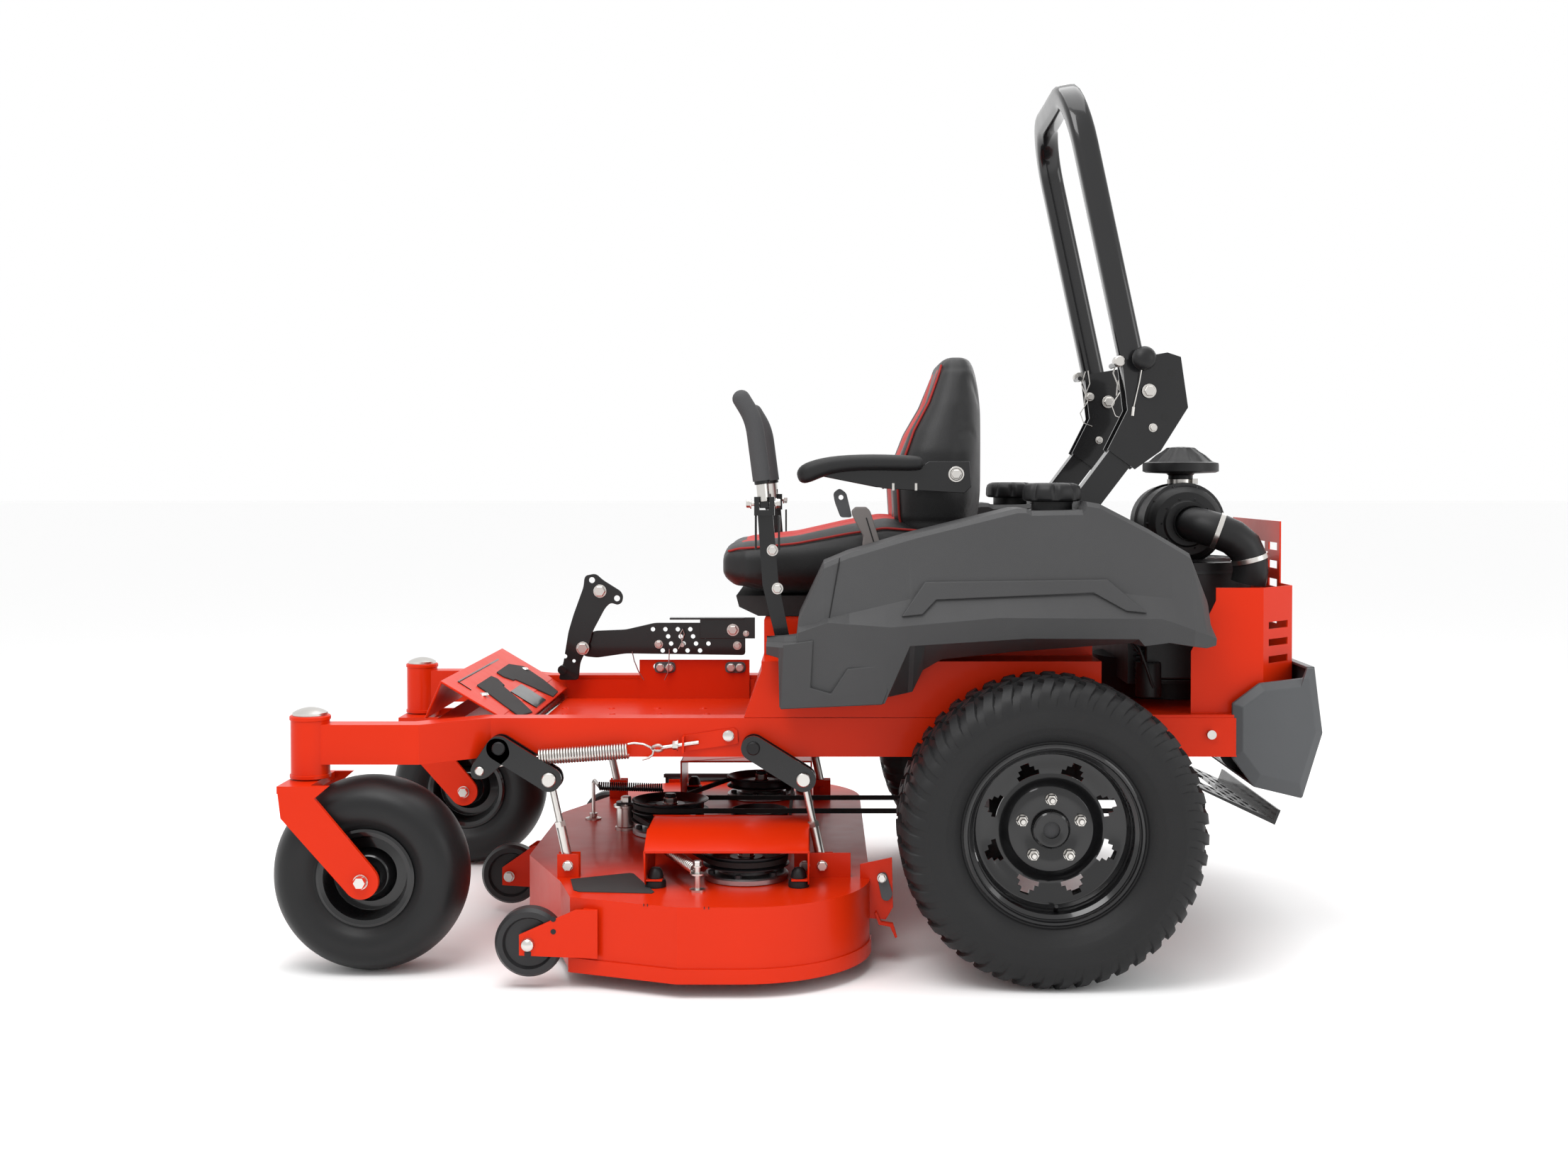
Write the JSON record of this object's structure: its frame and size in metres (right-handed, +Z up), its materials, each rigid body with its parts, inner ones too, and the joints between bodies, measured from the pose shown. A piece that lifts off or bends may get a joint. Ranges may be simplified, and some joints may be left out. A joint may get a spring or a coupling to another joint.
{
  "type": "zero turn mower",
  "caption": "Ride-on zero turn mower with mid-mounted side-discharge deck, swivelling front casters, lap bars, twin side tanks and a folding roll bar.",
  "frame": {"origin": "on the ground, under the middle of the machine's overall box", "axes": "+X forward, +Y to the driver's left, +Z up"},
  "size_m": [2.0336, 1.54, 1.7722],
  "materials": {
    "red_paint": "gloss",
    "drive_casting": "satin",
    "engine_black": "satin",
    "black_plastic": "satin",
    "black_steel": "gloss",
    "grey_steel": "satin",
    "grey_plastic": "textured",
    "seat_rubber": "matt",
    "seat_vinyl": "grained",
    "armrest_foam": "matt",
    "foam_grip": "matt",
    "brake_plastic": "satin",
    "tyre": "matt",
    "black_rim": "gloss",
    "zinc": "zinc plated",
    "cast_metal": "cast",
    "pulley_steel": "satin",
    "belt_rubber": "matt",
    "chute_rubber": "matt",
    "wheel_plastic": "satin"
  },
  "bodies": {
    "frame": {"frame": "red_paint", "floor_pan": "red_paint", "toe_guard": "red_paint", "seat_box": "red_paint", "hydro_drives": "drive_casting", "engine": "engine_black", "air_cleaner": "black_plastic", "muffler": "black_steel", "muffler_shield": "black_steel", "rear_bumper": "grey_steel", "engine_guard": "red_paint", "left_fuel_tank": "grey_plastic", "right_fuel_tank": "grey_plastic", "rops_lower": "black_steel", "height_quadrant": "black_steel", "control_panel": "black_plastic", "assist_springs": "zinc", "fasteners": "zinc"},
    "left_caster_fork": {"left_caster_fork": "red_paint"},
    "left_caster_wheel": {"left_caster_tyre": "tyre", "left_caster_rim": "black_rim"},
    "right_caster_fork": {"right_caster_fork": "red_paint"},
    "right_caster_wheel": {"right_caster_tyre": "tyre", "right_caster_rim": "black_rim"},
    "left_rear_wheel": {"left_rear_tyre": "tyre", "left_rear_rim": "black_rim"},
    "right_rear_wheel": {"right_rear_tyre": "tyre", "right_rear_rim": "black_rim"},
    "rops_hoop": {"rops_hoop": "black_steel"},
    "left_control_lever": {"left_control_lever": "black_steel"},
    "left_lap_bar": {"left_lap_bar": "foam_grip"},
    "right_control_lever": {"right_control_lever": "black_steel"},
    "right_lap_bar": {"right_lap_bar": "foam_grip"},
    "parking_brake": {"parking_brake": "brake_plastic"},
    "seat_base": {"seat_base": "seat_rubber"},
    "seat": {"seat_cushion": "seat_vinyl", "seat_back": "seat_vinyl"},
    "left_armrest": {"left_armrest": "armrest_foam"},
    "right_armrest": {"right_armrest": "armrest_foam"},
    "left_fuel_cap": {"left_fuel_cap": "black_plastic"},
    "right_fuel_cap": {"right_fuel_cap": "black_plastic"},
    "deck": {"deck_shell": "red_paint", "deck_covers": "red_paint", "spindle_housings": "cast_metal", "deck_belts": "belt_rubber"},
    "left_spindle": {"left_spindle": "pulley_steel"},
    "centre_spindle": {"centre_spindle": "pulley_steel"},
    "right_spindle": {"right_spindle": "pulley_steel"},
    "idler_pulley": {"idler_pulley": "pulley_steel"},
    "clutch_pulley": {"clutch_pulley": "pulley_steel"},
    "left_anti_scalp_wheel": {"left_anti_scalp_wheel": "wheel_plastic"},
    "right_anti_scalp_wheel": {"right_anti_scalp_wheel": "wheel_plastic"},
    "centre_anti_scalp_wheel": {"centre_anti_scalp_wheel": "wheel_plastic"},
    "discharge_chute": {"discharge_chute": "chute_rubber"},
    "front_lift_arms": {"front_lift_arms": "black_steel"},
    "rear_lift_arms": {"rear_lift_arms": "black_steel"},
    "front_lift_links": {"front_lift_links": "zinc"},
    "rear_lift_links": {"rear_lift_links": "zinc"},
    "lift_pedal": {"lift_pedal": "black_steel"}
  },
  "joints": [
    {"name": "left_caster_swivel", "type": "hinge", "parent": "frame", "child": "left_caster_fork", "pos_m": [0.949, 0.568, 0.43], "axis": [0, 0, 1], "continuous": true},
    {"name": "left_caster_spin", "type": "hinge", "parent": "left_caster_fork", "child": "left_caster_wheel", "pos_m": [0.83, 0.568, 0.1866], "axis": [0, 1, 0], "continuous": true},
    {"name": "left_rear_wheel_spin", "type": "hinge", "parent": "frame", "child": "left_rear_wheel", "pos_m": [-0.461, 0.633, 0.286], "axis": [0, 1, 0], "continuous": true},
    {"name": "left_lever_push", "type": "hinge", "parent": "frame", "child": "left_control_lever", "pos_m": [0.037, 0.443, 0.605], "axis": [0, 1, 0], "range_deg": [-7, 16]},
    {"name": "left_lap_bar_swing", "type": "hinge", "parent": "left_control_lever", "child": "left_lap_bar", "pos_m": [0.081, 0.443, 0.892], "axis": [-1, 0, 0], "range_deg": [0, 40]},
    {"name": "left_armrest_raise", "type": "hinge", "parent": "seat", "child": "left_armrest", "pos_m": [-0.304, 0.373, 0.95], "axis": [0, -1, 0], "range_deg": [0, 95]},
    {"name": "left_fuel_cap_turn", "type": "hinge", "parent": "frame", "child": "left_fuel_cap", "pos_m": [-0.485, 0.476, 0.9], "axis": [0, 0, 1], "range_deg": [0, 120]},
    {"name": "left_anti_scalp_spin", "type": "hinge", "parent": "deck", "child": "left_anti_scalp_wheel", "pos_m": [0.507, 0.695, 0.086], "axis": [0, 1, 0], "continuous": true},
    {"name": "right_caster_swivel", "type": "hinge", "parent": "frame", "child": "right_caster_fork", "pos_m": [0.949, -0.372, 0.43], "axis": [0, 0, 1], "continuous": true},
    {"name": "right_caster_spin", "type": "hinge", "parent": "right_caster_fork", "child": "right_caster_wheel", "pos_m": [0.83, -0.372, 0.1866], "axis": [0, 1, 0], "continuous": true},
    {"name": "right_rear_wheel_spin", "type": "hinge", "parent": "frame", "child": "right_rear_wheel", "pos_m": [-0.461, -0.437, 0.286], "axis": [0, 1, 0], "continuous": true},
    {"name": "right_lever_push", "type": "hinge", "parent": "frame", "child": "right_control_lever", "pos_m": [0.037, -0.247, 0.605], "axis": [0, 1, 0], "range_deg": [-7, 16]},
    {"name": "right_lap_bar_swing", "type": "hinge", "parent": "right_control_lever", "child": "right_lap_bar", "pos_m": [0.081, -0.247, 0.892], "axis": [1, 0, 0], "range_deg": [0, 40]},
    {"name": "right_armrest_raise", "type": "hinge", "parent": "seat", "child": "right_armrest", "pos_m": [-0.304, -0.177, 0.95], "axis": [0, -1, 0], "range_deg": [0, 95]},
    {"name": "right_fuel_cap_turn", "type": "hinge", "parent": "frame", "child": "right_fuel_cap", "pos_m": [-0.485, -0.28, 0.9], "axis": [0, 0, 1], "range_deg": [0, 120]},
    {"name": "right_anti_scalp_spin", "type": "hinge", "parent": "deck", "child": "right_anti_scalp_wheel", "pos_m": [0.507, -0.499, 0.086], "axis": [0, 1, 0], "continuous": true},
    {"name": "centre_anti_scalp_spin", "type": "hinge", "parent": "deck", "child": "centre_anti_scalp_wheel", "pos_m": [0.639, 0.138, 0.086], "axis": [0, 1, 0], "continuous": true},
    {"name": "rops_fold", "type": "hinge", "parent": "frame", "child": "rops_hoop", "pos_m": [-0.693, 0.098, 1.118], "axis": [0, -1, 0], "range_deg": [0, 100]},
    {"name": "parking_brake_pull", "type": "hinge", "parent": "frame", "child": "parking_brake", "pos_m": [-0.161, 0.366, 0.73], "axis": [0, -1, 0], "range_deg": [0, 28]},
    {"name": "seat_tilt", "type": "hinge", "parent": "frame", "child": "seat_base", "pos_m": [0.124, 0.098, 0.662], "axis": [0, 1, 0], "range_deg": [0, 55]},
    {"name": "seat_slide", "type": "slide", "parent": "seat_base", "child": "seat", "axis": [1, 0, 0], "range_m": [0, 0.06]},
    {"name": "deck_lift", "type": "slide", "parent": "frame", "child": "deck", "axis": [0, 0, 1], "range_m": [0, 0.055], "deforming": ["deck_belts"]},
    {"name": "front_lift_turn", "type": "hinge", "parent": "frame", "child": "front_lift_arms", "pos_m": [0.594, 0.098, 0.418], "axis": [0, 1, 0], "range_deg": [0, 30.94], "deforming": ["assist_springs"]},
    {"name": "front_link_turn", "type": "hinge", "parent": "front_lift_arms", "child": "front_lift_links", "pos_m": [0.49647, 0.098, 0.35706], "axis": [0, 1, 0], "range_deg": [-36.83, 0]},
    {"name": "rear_lift_turn", "type": "hinge", "parent": "frame", "child": "rear_lift_arms", "pos_m": [0.1, 0.098, 0.418], "axis": [0, 1, 0], "range_deg": [0, 30.94]},
    {"name": "rear_link_turn", "type": "hinge", "parent": "rear_lift_arms", "child": "rear_lift_links", "pos_m": [0.00247, 0.098, 0.35706], "axis": [0, 1, 0], "range_deg": [-36.83, 0]},
    {"name": "lift_pedal_push", "type": "hinge", "parent": "frame", "child": "lift_pedal", "pos_m": [0.579, 0.098, 0.49], "axis": [0, 1, 0], "range_deg": [0, 18]},
    {"name": "centre_spindle_spin", "type": "hinge", "parent": "deck", "child": "centre_spindle", "pos_m": [0.299, 0.098, 0.2], "axis": [0, 0, 1], "continuous": true},
    {"name": "left_spindle_spin", "type": "hinge", "parent": "deck", "child": "left_spindle", "pos_m": [0.114, 0.53, 0.2], "axis": [0, 0, 1], "continuous": true},
    {"name": "right_spindle_spin", "type": "hinge", "parent": "deck", "child": "right_spindle", "pos_m": [0.114, -0.334, 0.2], "axis": [0, 0, 1], "continuous": true},
    {"name": "idler_spin", "type": "hinge", "parent": "deck", "child": "idler_pulley", "pos_m": [0.1035, 0.098, 0.205], "axis": [0, 0, 1], "continuous": true},
    {"name": "clutch_spin", "type": "hinge", "parent": "frame", "child": "clutch_pulley", "pos_m": [-0.791, 0.098, 0.23], "axis": [0, 0, 1], "continuous": true},
    {"name": "chute_raise", "type": "hinge", "parent": "deck", "child": "discharge_chute", "pos_m": [0.239, -0.542, 0.182], "axis": [-1, 0, 0], "range_deg": [0, 80]}
  ],
  "couplings": [
    {"joint": "front_lift_turn", "follows": "deck_lift", "rad_per_m": 9.6592},
    {"joint": "front_link_turn", "follows": "deck_lift", "rad_per_m": -11.528},
    {"joint": "rear_lift_turn", "follows": "deck_lift", "rad_per_m": 9.6592},
    {"joint": "rear_link_turn", "follows": "deck_lift", "rad_per_m": -11.528},
    {"joint": "lift_pedal_push", "follows": "deck_lift", "rad_per_m": 5.5533},
    {"joint": "left_spindle_spin", "follows": "centre_spindle_spin", "ratio": 1},
    {"joint": "right_spindle_spin", "follows": "centre_spindle_spin", "ratio": 1},
    {"joint": "idler_spin", "follows": "centre_spindle_spin", "ratio": -1.3548},
    {"joint": "clutch_spin", "follows": "centre_spindle_spin", "ratio": 1}
  ]
}
